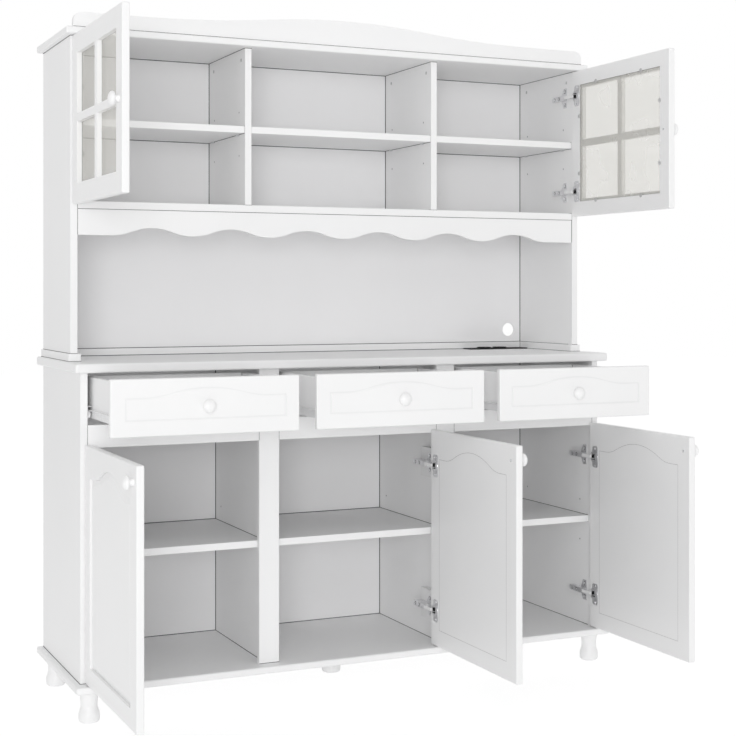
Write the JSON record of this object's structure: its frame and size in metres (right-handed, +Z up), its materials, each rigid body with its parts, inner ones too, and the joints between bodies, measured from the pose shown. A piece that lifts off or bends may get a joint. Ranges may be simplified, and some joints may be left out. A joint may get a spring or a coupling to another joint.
{
  "type": "buffet cabinet",
  "caption": "White buffet cabinet with a hutch: glazed and panelled doors stand open, drawers are pulled out on roller slides, above turned feet and below a scalloped valance.",
  "frame": {"origin": "centre of the middle foot's sole, on the floor, in the middle of the base board", "axes": "+X to the right seen from the front, +Y to the back, +Z up"},
  "size_m": [1.528, 0.8997, 1.7786],
  "materials": {
    "board_white": "smooth white painted board",
    "door_white": "satin white painted fibreboard",
    "knob_white": "satin white painted knob",
    "foot_white": "satin white turned foot",
    "back_board": "white faced hardboard",
    "raw_board": "white faced packing block",
    "glass": "clear pane with a warm tint",
    "bright_steel": "nickel plated steel",
    "white_steel": "white epoxy coated steel with nylon rollers",
    "black_plastic": "black moulded plastic"
  },
  "bodies": {
    "cabinet": {"base_board": "board_white", "countertop": "board_white", "crest": "board_white", "divider_left": "board_white", "divider_right": "board_white", "drawer_rails": "board_white", "feet": "foot_white", "front_stiles": "board_white", "hinge_arms": "bright_steel", "hutch_back_panels": "back_board", "hutch_floor": "board_white", "hutch_plinth": "board_white", "hutch_shelves": "board_white", "hutch_side_left": "board_white", "hutch_side_right": "board_white", "lower_back_panels": "back_board", "lower_shelves": "board_white", "niche_back": "back_board", "packing_blocks": "raw_board", "partition_left": "board_white", "partition_right": "board_white", "power_outlet": "black_plastic", "shelf_pins": "bright_steel", "side_panel_left": "board_white", "side_panel_right": "board_white", "slide_channels": "white_steel", "top_board": "board_white", "valance": "board_white"},
    "lower_left_door": {"lower_left_frame": "door_white", "lower_left_panel": "door_white", "lower_left_knob": "knob_white", "lower_left_hinge_cups": "bright_steel"},
    "lower_middle_door": {"lower_middle_frame": "door_white", "lower_middle_panel": "door_white", "lower_middle_knob": "knob_white", "lower_middle_hinge_cups": "bright_steel"},
    "lower_right_door": {"lower_right_frame": "door_white", "lower_right_panel": "door_white", "lower_right_knob": "knob_white", "lower_right_hinge_cups": "bright_steel"},
    "upper_left_door": {"upper_left_frame": "door_white", "upper_left_glass": "glass", "upper_left_knob": "knob_white", "upper_left_hinge_cups": "bright_steel"},
    "upper_right_door": {"upper_right_frame": "door_white", "upper_right_glass": "glass", "upper_right_knob": "knob_white", "upper_right_hinge_cups": "bright_steel"},
    "left_drawer": {"drawer_left_front": "door_white", "drawer_left_box": "board_white", "drawer_left_knob": "knob_white", "drawer_left_runners": "white_steel"},
    "middle_drawer": {"drawer_middle_front": "door_white", "drawer_middle_box": "board_white", "drawer_middle_knob": "knob_white", "drawer_middle_runners": "white_steel"},
    "right_drawer": {"drawer_right_front": "door_white", "drawer_right_box": "board_white", "drawer_right_knob": "knob_white", "drawer_right_runners": "white_steel"}
  },
  "joints": [
    {"name": "lower_left_door_hinge", "type": "hinge", "parent": "cabinet", "child": "lower_left_door", "pos_m": [-0.7257, -0.21, 0.0985], "axis": [0, 0, -1], "range_deg": [-90, 10]},
    {"name": "lower_middle_door_hinge", "type": "hinge", "parent": "cabinet", "child": "lower_middle_door", "pos_m": [0.21968, -0.21, 0.0985], "axis": [0, 0, 1], "range_deg": [-90, 10]},
    {"name": "lower_right_door_hinge", "type": "hinge", "parent": "cabinet", "child": "lower_right_door", "pos_m": [0.7257, -0.21, 0.0985], "axis": [0, 0, 1], "range_deg": [-90, 10]},
    {"name": "upper_left_door_hinge", "type": "hinge", "parent": "cabinet", "child": "upper_left_door", "pos_m": [-0.732, -0.104, 1.2689], "axis": [0, 0, -1], "range_deg": [-90, 10]},
    {"name": "upper_right_door_hinge", "type": "hinge", "parent": "cabinet", "child": "upper_right_door", "pos_m": [0.732, -0.104, 1.2689], "axis": [0, 0, 1], "range_deg": [-90, 10]},
    {"name": "left_drawer_slide", "type": "slide", "parent": "cabinet", "child": "left_drawer", "axis": [0, -1, 0], "range_m": [-0.2465, 0.0235]},
    {"name": "middle_drawer_slide", "type": "slide", "parent": "cabinet", "child": "middle_drawer", "axis": [0, -1, 0], "range_m": [-0.2465, 0.0235]},
    {"name": "right_drawer_slide", "type": "slide", "parent": "cabinet", "child": "right_drawer", "axis": [0, -1, 0], "range_m": [-0.2465, 0.0235]}
  ]
}
